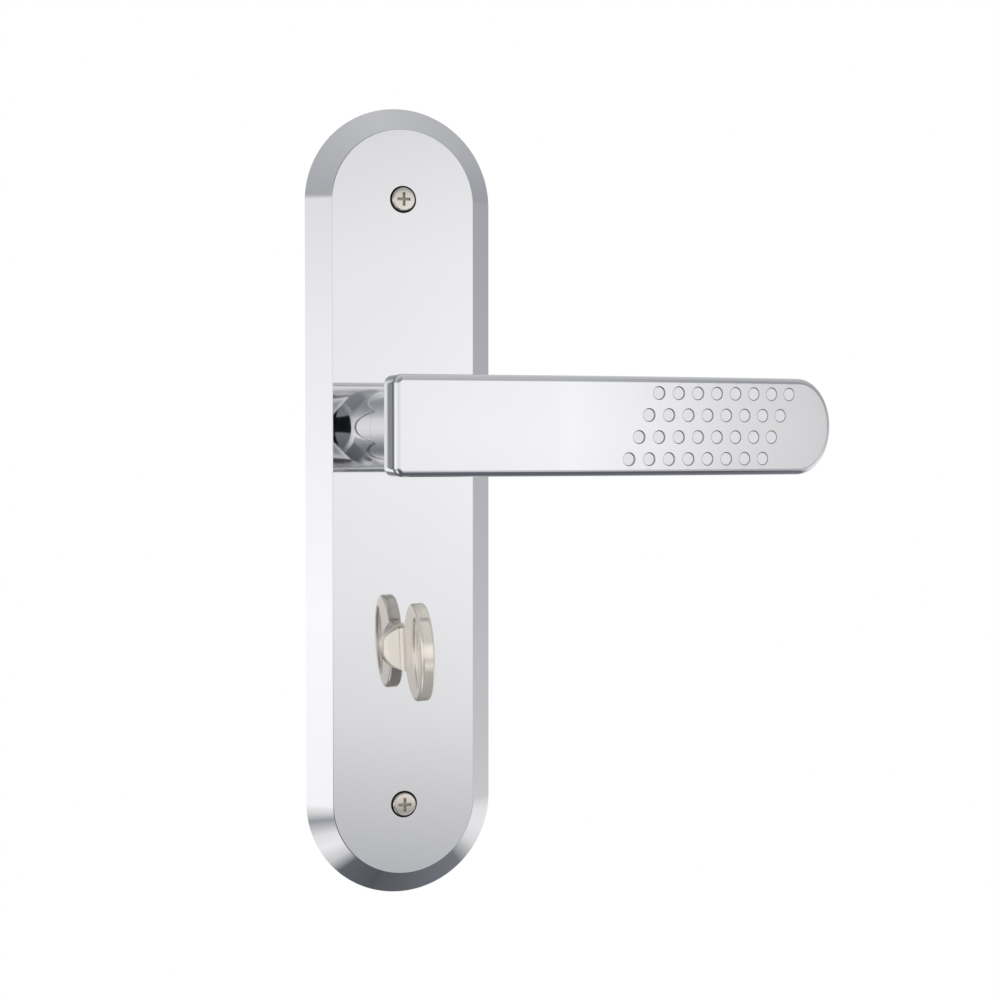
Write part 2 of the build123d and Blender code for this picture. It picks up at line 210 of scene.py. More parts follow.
class LockThumbturnSettings(bpy.types.PropertyGroup):
    """Sizes of the thumbturn."""

    reach: length("Reach", 22.3, "How far the finger plate stands off the plate's flat")
    root: length("Root", 6.3, "Where the finger plate's oval begins, off the plate's flat")
    height: length("Height", 23.1, "Height of the finger plate")
    thickness: length("Thickness", 3.4, "Thickness of the finger plate")
    rim: length("Rim", 0.8, "Rounding of the finger plate's rim")
    recess_reach: length("Recess reach", 17.4, "Middle of the finger recess, off the plate's flat")
    recess_width: length("Recess width", 7.2, "Width of the finger recess")
    recess_height: length("Recess height", 17.4, "Height of the finger recess")
    recess_depth: length("Recess depth", 0.8, "Depth of the finger recess")
    hub: length("Hub", 5.5, "Radius of the hub")
    hub_step: length("Hub step", 0.2, "How much narrower the hub's wedge is than what it joins")
    foot_gap: length("Foot gap", 0.05, "Gap round the foot of the hub, to the plate and to the bush")
    foot_wall: length("Foot wall", 0.2, "Wall of the hub's foot outside the bush")
    hub_lip: length("Hub lip", 0.6, "Height of the full round part of the hub")
    blend: length("Blend", 6.3, "Radius of the hollow curve from the hub into the finger plate")
    slope: angle("Slope", 32.7, "Slope of the hub's sides")
    recess_edge: length("Recess edge", 0.3, "Rounding of the finger recess")
    shank: length("Shank", 4.1, "Radius of the shank in the plate")
    groove: length("Groove", 0.3, "Depth of the retaining ring's groove")
    socket: length("Socket", 5.1, "Side of the square socket")
    lean: angle("Lean", 2.6, "Lean of the finger plate")


class LockScrewSettings(bpy.types.PropertyGroup):
    """Sizes of the fixing screws."""

    dome: length("Dome", 0.05, "Rise of the head's dome")
    head_edge: length("Head edge", 0.3, "Rounding of the head's edge")
    shank: length("Shank", 1.9, "Radius of the plain shank")
    shank_end: length("Shank end", 1.0, "Depth where the plain shank ends")
    core: length("Core", 1.6, "Radius of the threaded core")
    thread: length("Thread", 0.32, "Height of the thread")
    thread_pitch: length("Thread pitch", 1.7, "Pitch of the thread")
    point: length("Point", 4.0, "Length of the point")
    cross_length: length("Cross length", 3.7, "Length of the cross recess")
    cross_width: length("Cross width", 0.8, "Width of the cross recess")
    cross_depth: length("Cross depth", 0.6, "Depth of the cross recess")
    sides: IntProperty(name="Sides", description="Segments round a screw", default=48, min=12)


class LockFinishSettings(bpy.types.PropertyGroup):
    """Colours and gloss of the finishes."""

    chrome: tint("Chrome", (0.93, 0.93, 0.935), "Colour of the chromed castings")
    chrome_gloss: share("Chrome roughness", 0.03, "Roughness of clean chrome")
    # Painted shade, near black, deep in the screw recesses, where the chrome is also thin
    recess: tint("Recess", (0.02, 0.02, 0.022), "Colour of the bare metal in the screw recesses")
    # Painted shade on the dimples' walls, in place of the dark reflections that show there
    dimple: tint("Dimple wall", (0.58, 0.58, 0.59), "Colour of the thin plating on the dimples' walls")
    # Painted shade down in the screws' cross recesses and round their heads' sides
    slot: tint("Slot", (0.64, 0.58, 0.50), "Colour of the nickel down in the screws' recesses")
    nickel: tint("Nickel", (0.82, 0.765, 0.69), "Colour of the nickel plating")
    nickel_gloss: share("Nickel roughness", 0.05, "Roughness of clean nickel")
    pearl: tint("Pearl nickel", (0.93, 0.86, 0.765), "Colour of the thumbturn's pale nickel")
    pearl_gloss: share("Pearl nickel roughness", 0.10, "Roughness of the thumbturn's pale nickel")
    pearl_mirror: share("Pearl nickel mirror", 0.6, "Share of mirror in the thumbturn's pale nickel")
    steel: tint("Steel", (0.62, 0.62, 0.60), "Colour of the zinc plated steel")
    spring: tint("Spring steel", (0.34, 0.33, 0.32), "Colour of the spring wire")
    nylon: tint("Nylon", (0.055, 0.055, 0.06), "Colour of the nylon bushes")


class LockStageSettings(bpy.types.PropertyGroup):
    """Camera, floor and light."""

    camera_place: FloatVectorProperty(
        name="Camera place",
        description="Where the camera stands",
        default=(-0.12660, -0.47918, -0.003085),
        size=3,
        subtype="TRANSLATION",
        precision=6,
    )
    camera_yaw: angle("Camera yaw", 17.66366, "Turn of the view to the right")
    camera_pitch: angle("Camera pitch", 1.70203, "Tilt of the view downwards")
    lens: FloatProperty(name="Lens", description="Focal length in millimetres", default=73.227)
    tent_radius: length("Tent radius", 30000.0, "Radius of the light tent")
    lamp_power: FloatProperty(
        name="Lamp power", description="Power of each soft lamp in watts", default=20.0
    )
    floor_drop: length("Floor drop", 70.0, "How far the floor lies below the plate")
    floor_size: length("Floor size", 6000.0, "Side of the floor")
    floor_colour: tint("Floor colour", (0.86, 0.86, 0.87), "Colour of the floor")
    floor_glow: share("Floor glow", 1.0, "Share of plain white in the floor as the camera sees it")
    shade: FloatVectorProperty(
        name="Shade",
        description="Cast of the light tent's dark parts",
        default=(0.93, 1.004, 1.16),
        size=3,
    )
    bright: FloatVectorProperty(
        name="Bright",
        description="Cast of the light tent's bright parts",
        default=(0.999, 0.999, 1.014),
        size=3,
    )


SETTINGS = {
    "lock_plate": LockPlateSettings,
    "lock_lever": LockLeverSettings,
    "lock_thumbturn": LockThumbturnSettings,
    "lock_screws": LockScrewSettings,
    "lock_finish": LockFinishSettings,
    "lock_stage": LockStageSettings,
}


def in_millimetres(name):
    """The settings of one group, with its lengths in millimetres."""
    group = getattr(bpy.context.scene, name)
    values = {}
    for key, prop in group.bl_rna.properties.items():
        if prop.type in {"FLOAT", "INT"}:
            value = getattr(group, key)
            values[key] = value * PER_METRE if prop.unit == "LENGTH" and not prop.is_array else value
    return SimpleNamespace(**values)


def node_box(node):
    """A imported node's lowest and highest corners in millimetres."""
    low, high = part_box(node)
    return low * PER_METRE, high * PER_METRE


def node_middle(node):
    """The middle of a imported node's box in millimetres."""
    low, high = node_box(node)
    return (low + high) / 2


def node_body(node):
    """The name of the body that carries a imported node."""
    bodies = frame["record"]["behaviour"]["bodies"]
    return next(body for body, nodes in bodies.items() if node in nodes)


# Modelling helpers


def clear_selection():
    """Leaves edit mode with nothing selected."""
    if bpy.context.object and bpy.context.object.mode != "OBJECT":
        bpy.ops.object.mode_set(mode="OBJECT")
    bpy.ops.object.select_all(action="DESELECT")


def take(piece):
    """Makes one object the only selected and active one."""
    clear_selection()
    piece.select_set(True)
    bpy.context.view_layer.objects.active = piece


def edit(piece):
    """Opens one object in edit mode with all of it selected."""
    take(piece)
    bpy.ops.object.mode_set(mode="EDIT")
    bpy.ops.mesh.select_all(action="SELECT")


def choose(piece, kind, test):
    """In edit mode, selects only the vertices, edges or faces that pass a test."""
    bpy.ops.mesh.select_mode(type=kind)
    bpy.ops.mesh.select_all(action="DESELECT")
    cage = bmesh.from_edit_mesh(piece.data)
    cage.normal_update()
    found = [part for part in getattr(cage, KINDS[kind]) if test(part)]
    if not found:
        raise RuntimeError(f"{piece.name}: no {kind.lower()} passes the test")
    for part in found:
        part.select_set(True)
    bmesh.update_edit_mesh(piece.data)


def named_primitive(name):
    """Names the object that a primitive operator has just made and applies its place."""
    piece = bpy.context.object
    piece.name = name
    piece.data.name = name
    bpy.ops.object.transform_apply(location=True, rotation=True, scale=True)
    return piece


def close_skin():
    """In edit mode, fills the open ends and turns the faces outwards."""
    bpy.ops.mesh.select_all(action="SELECT")
    bpy.ops.mesh.fill_holes(sides=0)
    bpy.ops.mesh.select_all(action="SELECT")
    bpy.ops.mesh.normals_make_consistent(inside=False)


def lathe(name, stations, sides, half_step=False):
    """Turns (radius, depth) stations about the Y direction into a closed skin."""
    radius, depth = stations[0]
    clear_selection()
    spin = math.pi / sides if half_step else 0
    bpy.ops.mesh.primitive_circle_add(
        vertices=sides, radius=radius, location=(0, depth, 0), rotation=(QUARTER_TURN, spin, 0)
    )
    piece = named_primitive(name)
    edit(piece)
    for next_radius, next_depth in stations[1:]:
        bpy.ops.mesh.extrude_region_move(TRANSFORM_OT_translate={"value": (0, next_depth - depth, 0)})
        factor = next_radius / radius
        bpy.ops.transform.resize(value=(factor, 1, factor), center_override=(0, next_depth, 0))
        radius, depth = next_radius, next_depth
    close_skin()
    bpy.ops.object.mode_set(mode="OBJECT")
    return piece


def shift(piece, offset):
    """Moves a finished shape by an offset, in its mesh."""
    edit(piece)
    bpy.ops.transform.translate(value=offset)
    bpy.ops.object.mode_set(mode="OBJECT")


def scale_where(piece, test, scale, **pivot):
    """Scales the vertices that pass a test, about their middle or a given pivot."""
    edit(piece)
    choose(piece, "VERT", test)
    bpy.ops.transform.resize(value=scale, **pivot)
    bpy.ops.object.mode_set(mode="OBJECT")


def duplicate(piece, name, offset):
    """A copy of a piece with its own mesh, moved by an offset."""
    copy = piece.copy()
    copy.data = piece.data.copy()
    copy.name = name
    bpy.context.collection.objects.link(copy)
    copy.data.transform(Matrix.Translation(offset))
    return copy


def rod(name, radius, y0, y1, z=0.0, sides=ROD_SIDES):
    """Closed cylinder along Y between two depths."""
    piece = lathe(name, [(radius, y0), (radius, y1)], sides)
    shift(piece, (0, 0, z))
    return piece


def block(name, low, high):
    """Box between two corners."""
    low, high = Vector(low), Vector(high)
    clear_selection()
    bpy.ops.mesh.primitive_cube_add(size=1, location=(low + high) / 2, scale=high - low)
    return named_primitive(name)


def prism(name, outline, z0, z1):
    """Prism between two heights over an outline of (x, y) points."""
    clear_selection()
    bpy.ops.mesh.primitive_circle_add(vertices=len(outline), radius=1)
    piece = named_primitive(name)
    for vertex, (x, y) in zip(piece.data.vertices, outline):
        vertex.co = (x, y, z0)
    edit(piece)
    bpy.ops.mesh.extrude_region_move(TRANSFORM_OT_translate={"value": (0, 0, z1 - z0)})
    close_skin()
    bpy.ops.object.mode_set(mode="OBJECT")
    return piece


def combine(piece, tool, operation):
    """Applies a boolean of a tool to a piece and removes the tool."""
    take(piece)
    bpy.ops.object.modifier_add(type="BOOLEAN")
    modifier = piece.modifiers[-1]
    modifier.operation = operation
    modifier.solver = "EXACT"
    modifier.object = tool
    bpy.ops.object.modifier_apply(modifier=modifier.name)
    bpy.data.meshes.remove(tool.data)


def join(pieces):
    """Joins several objects into the first."""
    take(pieces[0])
    for piece in pieces[1:]:
        piece.select_set(True)
    bpy.ops.object.join()
    return pieces[0]


def cut_socket(piece, side, start, end):
    """Cuts a square socket from a depth out through the end of a shank."""
    half = side / 2
    socket = block("socket", (-half, start, -half), (half, end + CLEAR, half))
    combine(piece, socket, "DIFFERENCE")


def cut_groove(piece, clip, shank, depth):
    """Cuts the groove round a shank in which a packed retaining ring lies."""
    low, high = node_box(clip)
    groove = rod("groove", shank + CLEAR, low.y, high.y)
    core = rod("core", shank - depth, low.y - CLEAR, high.y + CLEAR)
    combine(groove, core, "DIFFERENCE")
    combine(piece, groove, "DIFFERENCE")


def is_sharp(edge):
    """Whether an edge folds by more than smooth shading takes up."""
    return len(edge.link_faces) == 2 and edge.calc_face_angle() > SMOOTH_ANGLE


def round_edges(piece, test, size, segments):
    """Rounds the edges that pass a test."""
    edit(piece)
    choose(piece, "EDGE", test)
    bpy.ops.mesh.bevel(
        offset=size, segments=segments, profile=ROUND_PROFILE, affect="EDGES", clamp_overlap=False
    )
    bpy.ops.object.mode_set(mode="OBJECT")


def smooth(piece):
    """Shades a piece smooth between its sharp edges, with large faces kept flat."""
    take(piece)
    bpy.ops.object.shade_smooth_by_angle(angle=SMOOTH_ANGLE)
    bpy.ops.object.modifier_add(type="WEIGHTED_NORMAL")
    modifier = piece.modifiers[-1]
    modifier.keep_sharp = True
    modifier.weight = FLAT_WEIGHT
    bpy.ops.object.modifier_apply(modifier=modifier.name)


def finish_piece(piece, nodes, material):
    """Scales a piece to metres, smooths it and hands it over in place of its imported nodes."""
    edit(piece)
    bpy.ops.mesh.remove_doubles(threshold=WELD)
    bpy.ops.mesh.select_all(action="SELECT")
    bpy.ops.mesh.dissolve_degenerate(threshold=WELD)
    bpy.ops.mesh.select_all(action="SELECT")
    bpy.ops.transform.resize(value=(MM, MM, MM), center_override=(0, 0, 0))
    bpy.ops.object.mode_set(mode="OBJECT")
    smooth(piece)
    hand_over(piece, nodes, material)


def hand_over(piece, nodes, material):
    """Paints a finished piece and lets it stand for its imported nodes."""
    piece.data.materials.clear()
    piece.data.materials.append(material)
    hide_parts(*nodes)
    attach(piece, node_body(nodes[0]))


# Finishes: the drift of tone and gloss over plated metal, its grain, and how much rougher it is where
# painted shade darkens it
DRIFT_SCALE = 45.0
DRIFT_DETAIL = 3.0
DRIFT_SHADE = 0.03
GRAIN_DETAIL = 4.0
GRAIN_ROUGHNESS = 0.6
DULL_ROUGHNESS = 0.5
# Spread of each plating's roughness, and the scale and height of its grain in metres
CHROME_SKIN = {"spread": 0.02, "grain_scale": 420.0, "grain_height": 1.5e-7}
NICKEL_SKIN = {"spread": 0.03, "grain_scale": 700.0, "grain_height": 3e-7}
PEARL_SKIN = {"spread": 0.04, "grain_scale": 700.0, "grain_height": 3e-7}
STEEL_SKIN = {"spread": 0.18, "grain_scale": 700.0, "grain_height": 3e-6}
SPRING_SKIN = {"spread": 0.2, "grain_scale": 1100.0, "grain_height": 2e-6}
STEEL_ROUGHNESS = 0.28
SPRING_ROUGHNESS = 0.3
DRAWN = (1, 0.08, 1)
# Depths between which a screw is darkened with painted shade, as shares of the cross recess's depth
SLOT_SPAN = (0.5, 2.0)
# Scale and detail of the nylon's mottle and skin, its darkening, gloss and relief
NYLON_MOTTLE = (260.0, 3.0)
NYLON_SKIN = (2600.0, 2.0)
NYLON_SHADE = 0.25
NYLON_ROUGHNESS = 0.42
NYLON_SPREAD = 0.16
NYLON_RELIEF = 2e-5
NYLON_STRENGTH = 0.6


class Value:
    """A node socket that takes part in Python arithmetic, each step adding a Math node."""

    def __init__(self, paint, socket):
        self.paint = paint
        self.socket = socket

    def __add__(self, other):
        return self.paint.maths("ADD", self, other)

    def __sub__(self, other):
        return self.paint.maths("SUBTRACT", self, other)

    def __mul__(self, other):
        return self.paint.maths("MULTIPLY", self, other)

    def __truediv__(self, other):
        return self.paint.maths("DIVIDE", self, other)

    def __pow__(self, other):
        return self.paint.maths("POWER", self, other)

    def __neg__(self):
        return self.paint.maths("MULTIPLY", self, -1.0)

    def __radd__(self, other):
        return self.paint.maths("ADD", other, self)

    def __rsub__(self, other):
        return self.paint.maths("SUBTRACT", other, self)

    def __rmul__(self, other):
        return self.paint.maths("MULTIPLY", other, self)


class Paint:
    """A node tree that is built from node types, their settings and their inputs."""

    def __init__(self, tree):
        self.tree = tree
        tree.nodes.clear()

    def node(self, kind, settings=None, inputs=None):
        """Adds a node, applies its settings, fills its sockets and returns its outputs by name."""
        node = self.tree.nodes.new(kind)
        for key, value in (settings or {}).items():
            if key == "stops":
                self.set_stops(node.color_ramp, value)
            elif key == "blending":
                node.color_ramp.interpolation = value
            else:
                setattr(node, key, value)
        for key, value in (inputs or {}).items():
            if isinstance(value, Value):
                self.tree.links.new(value.socket, node.inputs[key])
            else:
                node.inputs[key].default_value = value
        return {socket.name: Value(self, socket) for socket in node.outputs if socket.enabled}

    def set_stops(self, ramp, stops):
        """Gives a ramp its (place, grey) stops."""
        while len(ramp.elements) < len(stops):
            ramp.elements.new(1.0)
        for element, (place, grey) in zip(ramp.elements, stops):
            element.position = place
            element.color = (grey, grey, grey, 1.0)

    def maths(self, operation, *values):
        """The result of a Math node."""
        inputs = dict(enumerate(values))
        return self.node("ShaderNodeMath", {"operation": operation}, inputs)["Value"]

    def ramp(self, factor, stops):
        """A grey ramp over a factor, as a value."""
        settings = {"blending": "LINEAR", "stops": stops}
        return self.node("ShaderNodeValToRGB", settings, {"Fac": factor})["Color"]

    def noise(self, place, scale, detail=2.0, roughness=0.5):
        """Smooth noise over a place."""
        inputs = {"Vector": place, "Scale": scale, "Detail": detail, "Roughness": roughness}
        return self.node("ShaderNodeTexNoise", {}, inputs)["Fac"]

    def between(self, factor, low, high):
        """A colour between two colours."""
        inputs = {0: factor, MIX_FIRST: self.colour(low), MIX_SECOND: self.colour(high)}
        return self.node("ShaderNodeMix", {"data_type": "RGBA"}, inputs)["Result"]

    def colour(self, colour):
        """A colour socket's value, from three channels or from another socket."""
        return colour if isinstance(colour, Value) else (*colour, 1.0)

    def above(self, value, limit):
        """1 where a value is above a limit, 0 elsewhere."""
        return self.maths("GREATER_THAN", value, limit)

    def bump(self, height, distance, strength=1.0):
        """A normal that follows a height."""
        inputs = {"Strength": strength, "Distance": distance, "Height": height}
        return self.node("ShaderNodeBump", {}, inputs)["Normal"]

    def surface(self, inputs):
        """Ends a material with one shader on its surface."""
        shader = self.node("ShaderNodeBsdfPrincipled", {}, inputs)["BSDF"]
        self.node("ShaderNodeOutputMaterial", {}, {"Surface": shader})


def shaded(colour, amount):
    """A colour made darker by an amount."""
    return tuple(channel * (1 - amount) for channel in colour)


def new_material(name):
    """An empty node material."""
    material = bpy.data.materials.new(name)
    material.use_nodes = True
    return material, Paint(material.node_tree)


def metal(
    name,
    colour,
    roughness,
    spread,
    grain_scale,
    grain_height,
    stretch=(1, 1, 1),
    dull_and_shade=None,
    mirror=1.0,
):
    """A plated metal whose gloss and tone drift and whose mirror a fine grain breaks."""
    material, paint = new_material(name)
    place = paint.node("ShaderNodeTexCoord")["Object"]
    stretched = paint.node("ShaderNodeMapping", {}, {"Vector": place, "Scale": stretch})["Vector"]
    drift = paint.noise(place, DRIFT_SCALE, DRIFT_DETAIL)
    grain = paint.noise(stretched, grain_scale, GRAIN_DETAIL, GRAIN_ROUGHNESS)
    base = paint.between(drift, shaded(colour, DRIFT_SHADE), colour)
    gloss = roughness + spread * drift
    # Painted shade: where a finish gives a mask, the colour darkens there and the surface gets rougher
    if dull_and_shade:
        where, shadowed = dull_and_shade(paint, place)
        base = paint.between(where, base, shadowed)
        gloss = gloss + DULL_ROUGHNESS * where
    bump = paint.bump(grain, grain_height)
    paint.surface({"Base Color": base, "Metallic": mirror, "Roughness": gloss, "Normal": bump})
    return material


def chrome_finish(finish):
    """Bright chrome with a faint unevenness under the plating, rougher on the dimples' walls and
    darkened there with painted shade.
    """

    def dull_and_shade(paint, place):
        mark = paint.node("ShaderNodeAttribute", {"attribute_name": SHADED_WALL_MARK})["Fac"]
        return mark, finish.dimple

    return metal("bright_chrome", finish.chrome, finish.chrome_gloss, **CHROME_SKIN, dull_and_shade=dull_and_shade)


def plate_finish(finish):
    """Bright chrome that doesn't reach deep into the recesses round the screw heads; there it is
    rougher and darkened near black with painted shade.
    """
    plate = bpy.context.scene.lock_plate
    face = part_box("face_plate")[0].y
    heights = [node_middle(name).z * MM for name in SCREW_NODES]
    middle = sum(heights) / 2
    spacing = abs(heights[0] - middle)

    def dull_and_shade(paint, place):
        parts = paint.node("ShaderNodeSeparateXYZ", {}, {0: place})
        folded = paint.maths("ABSOLUTE", parts["Z"] - middle)
        away = (parts["X"] ** 2 + (folded - spacing) ** 2) ** 0.5
        inside = 1 - paint.above(away, plate.counterbore + plate.hole_edge / 2)
        return inside * paint.above(parts["Y"], face + plate.shade_depth), finish.recess

    return metal("plate_chrome", finish.chrome, finish.chrome_gloss, **CHROME_SKIN, dull_and_shade=dull_and_shade)


def nickel_finish(finish):
    """Warm polished nickel, darkened with painted shade down in the cross recess and round the head's
    side.
    """
    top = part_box("upper_screw")[0].y
    start, end = (portion * bpy.context.scene.lock_screws.cross_depth for portion in SLOT_SPAN)

    def dull_and_shade(paint, place):
        depth = paint.node("ShaderNodeSeparateXYZ", {}, {0: place})["Y"] - top
        return paint.above(depth, start) * (1 - paint.above(depth, end)), finish.slot

    return metal("polished_nickel", finish.nickel, finish.nickel_gloss, **NICKEL_SKIN, dull_and_shade=dull_and_shade)


def pearl_finish(finish):
    """Pale lacquered nickel, part mirror and part satin."""
    return metal(
        "pearl_nickel", finish.pearl, finish.pearl_gloss, **PEARL_SKIN, mirror=finish.pearl_mirror
    )


def steel_finish(finish):
    """Zinc plated steel, drawn along the door's depth."""
    return metal("plated_steel", finish.steel, STEEL_ROUGHNESS, **STEEL_SKIN, stretch=DRAWN)


def spring_finish(finish):
    """Dark oiled spring wire."""
    return metal("spring_wire", finish.spring, SPRING_ROUGHNESS, **SPRING_SKIN)


def nylon_finish(finish):
    """Moulded nylon with a fine matt skin."""
    material, paint = new_material("moulded_nylon")
    place = paint.node("ShaderNodeTexCoord")["Object"]
    mottle = paint.noise(place, *NYLON_MOTTLE)
    skin = paint.noise(place, *NYLON_SKIN)
    inputs = {
        "Base Color": paint.between(mottle, shaded(finish.nylon, NYLON_SHADE), finish.nylon),
        "Roughness": NYLON_ROUGHNESS + NYLON_SPREAD * mottle,
        "Normal": paint.bump(skin, NYLON_RELIEF, NYLON_STRENGTH),
    }
    paint.surface(inputs)
    return material


FINISHES = {
    "chrome": chrome_finish,
    "plate": plate_finish,
    "nickel": nickel_finish,
    "pearl": pearl_finish,
    "steel": steel_finish,
    "spring_steel": spring_finish,
    "nylon": nylon_finish,
}
made_finishes = {}


def finish_for(name):
    """A finish by its name, made once."""
    if name not in made_finishes:
        made_finishes[name] = FINISHES[name](bpy.context.scene.lock_finish)
    return made_finishes[name]


# Pieces: fits in millimetres, and shares and steps of their shapes

# Plate: share of its width that the spring ring's opening keeps at its point
OPENING_POINT = 0.01
# Lever: how squarely a face looks front or back, the arc of a dimple's wall, and the mark of the walls
# that get painted shade
RIM_FACING = 0.7
DISH_STEPS = 7
DISH_OVERRUN = 1.25
SHADED_WALL_MARK = "dimple_wall"
WALL_FACING = 0.9
# Lever: gap in front of the bush, and how many times closer the cup fits than the foot
BUSH_GAP = 0.05
CUP_FIT = 3
# Thumbturn: the hub's stand off the bush and inset in the finger plate, and the recess's floor
HUB_SEAT = 0.2
HUB_INSET = 0.04
RECESS_FLOOR = (1, 0.86, 0.95)
# Screws: arcs of the head, taper from shank to core, end of the point and bottom of the cross
HEAD_STEPS = 6
SHANK_TAPER = 0.3
TIP_RADIUS = 0.05
CROSS_BOTTOM = (0.8, 1, 0.8)
# Screws: steps in a turn of the thread, its distance from shank and tip, and its run to the point
THREAD_STEPS = 24
THREAD_START = 0.8
THREAD_END = 1.0
POINT_SHRINK = 0.85
RIDGE_SIDES = 3


class LOCK_OT_face_plate(bpy.types.Operator):
    """Models the chromed plate with its skirt, holes, bosses, spring ring and ribs"""

    bl_idname = "lock.face_plate"
    bl_label = "Face plate"

    def execute(self, context):
        plate = in_millimetres("lock_plate")
        low, high = node_box("face_plate")
        piece = self.shell(plate, low, high)
        screws = [node_middle(name).z for name in SCREW_NODES]
        thumb = node_middle("thumbturn_washer").z
        self.inner_features(piece, plate, low, screws, thumb)
        self.holes(piece, plate, low, screws, thumb)
        finish_piece(piece, ["face_plate"], finish_for("plate"))
        return {"FINISHED"}

    def shell(self, plate, low, high):
        """A round pan, rounded at its edge and then drawn apart into a long plate."""
        radius = (high.x - low.x) / 2
        face = low.y
        slope = math.atan2(plate.skirt_width, -face)
        rim = radius - plate.wall / math.cos(slope)
        inner_face = face + plate.wall
        stations = [
            (rim + inner_face * math.tan(slope), inner_face),
            (rim, 0),
            (radius, 0),
            (radius - plate.skirt_width, face),
        ]
        piece = lathe("plate_casting", stations, plate.sides, half_step=True)

        def on_front(edge):
            return all(v.co.y < face + TOUCH for v in edge.verts)

        round_edges(piece, on_front, plate.edge_round, EDGE_STEPS)
        half_straight = (high.z - low.z) / 2 - radius
        edit(piece)
        for sign in (-1, 1):
            choose(piece, "VERT", lambda v: v.co.z * sign > 0)
            bpy.ops.transform.translate(value=(0, 0, sign * half_straight))
        bpy.ops.object.mode_set(mode="OBJECT")
        shift(piece, (0, 0, (low.z + high.z) / 2))
        return piece

    def inner_features(self, piece, plate, low, screws, thumb):
        """Bosses, spring ring, post and ribs behind the plate."""
        inner = low.y + plate.wall
        start = inner - SINK
        end = -plate.relief
        tools = [rod("boss", plate.screw_boss, start, 0, z) for z in screws]
        tools.append(rod("boss", plate.thumb_boss, start, inner + plate.thumb_boss_height, thumb))
        post_low = (-plate.post_half, start, plate.post_bottom)
        tools.append(block("post", post_low, (plate.post_half, end, plate.post_top)))
        tools.append(self.spring_ring(plate, start, end))
        ring = plate.ring_inner + plate.ring_wall
        spans = [
            (screws[1], thumb - plate.thumb_boss),
            (thumb + plate.thumb_boss, -ring),
            (plate.post_top + plate.rib_offset, screws[0]),
        ]
        for side in (-1, 1):
            x0 = side * plate.rib_offset - plate.rib_thickness / 2
            x1 = x0 + plate.rib_thickness
            for z0, z1 in spans:
                tools.append(block("rib", (x0, start, z0), (x1, inner + plate.rib_depth, z1)))
        for tool in tools:
            combine(piece, tool, "UNION")

    def spring_ring(self, plate, start, end):
        """Ring round the spring, open at the top where the spring's legs and the tab swing."""
        ring = rod("ring", plate.ring_inner + plate.ring_wall, start, end)
        combine(ring, rod("bore", plate.ring_inner, start - CLEAR, end + CLEAR), "DIFFERENCE")
        tall = 2 * plate.ring_inner
        wide = tall * math.tan(plate.ring_opening)
        opening = block("opening", (-wide, start - CLEAR, -TOUCH), (wide, end + CLEAR, tall))
        scale_where(opening, lambda v: v.co.z < 0, (OPENING_POINT, 1, 1))
        combine(ring, opening, "DIFFERENCE")
        return ring

    def holes(self, piece, plate, low, screws, thumb):
        """Bearing holes and counterbored screw holes, with eased front edges."""
        face = low.y
        front = face - CLEAR
        cuts = [
            (plate.lever_hole, front, face + plate.wall + SINK, 0.0),
            (plate.thumb_hole, front, CLEAR, thumb),
        ]
        for z in screws:
            cuts.append((plate.screw_hole, front, CLEAR, z))
            cuts.append((plate.counterbore, front, face + plate.counterbore_depth, z))
        for radius, y0, y1, z in cuts:
            combine(piece, rod("hole", radius, y0, y1, z), "DIFFERENCE")
        outer = node_box("face_plate")[1].x - plate.skirt_width - CLEAR

        def on_hole(edge):
            on_face = all(abs(v.co.y - face) < TOUCH for v in edge.verts)
            inside = all(abs(v.co.x) < outer for v in edge.verts)
            return on_face and inside and is_sharp(edge)

        round_edges(piece, on_hole, plate.hole_edge, HOLE_EDGE_STEPS)


